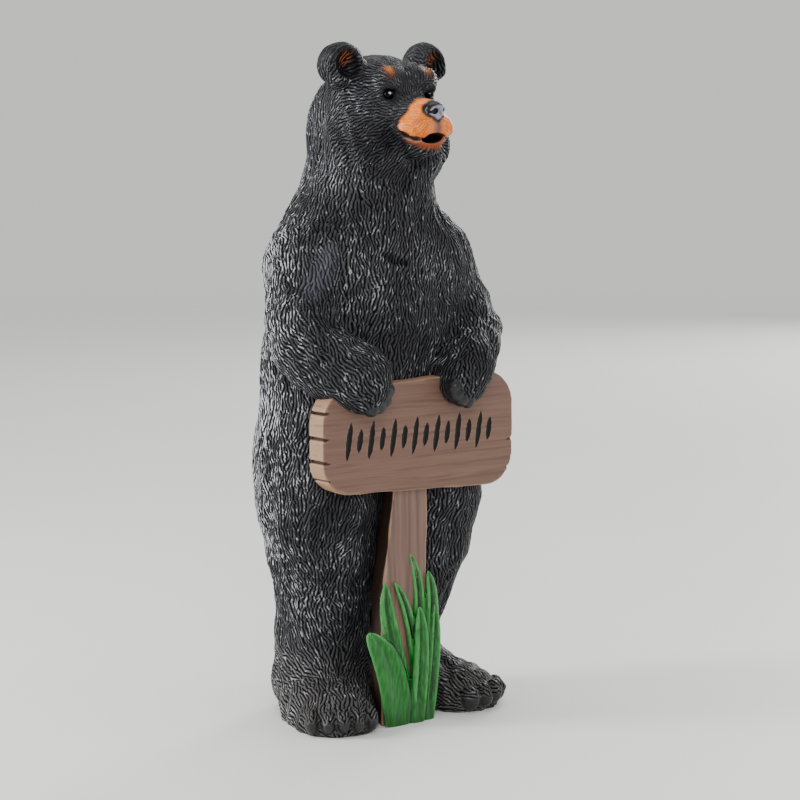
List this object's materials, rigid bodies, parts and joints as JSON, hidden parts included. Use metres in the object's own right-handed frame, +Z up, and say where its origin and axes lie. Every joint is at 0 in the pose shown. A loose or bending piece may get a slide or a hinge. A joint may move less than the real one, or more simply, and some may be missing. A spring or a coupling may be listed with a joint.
{
  "type": "bear garden statue",
  "caption": "Cast garden statue of a black bear that stands upright, its paws over a rustic sign board on a post with grass at its foot.",
  "frame": {"origin": "centre of the underside, on the ground plane, at the middle of the box that holds the statue", "axes": "+Z up, the bear faces -Y, and its right side is towards -X"},
  "size_m": [0.2468, 0.212, 0.6061],
  "materials": {
    "coat": "satin",
    "sign": "matte",
    "post": "matte",
    "grass": "satin",
    "eyes": "gloss",
    "nose": "gloss"
  },
  "bodies": {
    "root": {"bear_statue": "coat"}
  },
  "joints": []
}
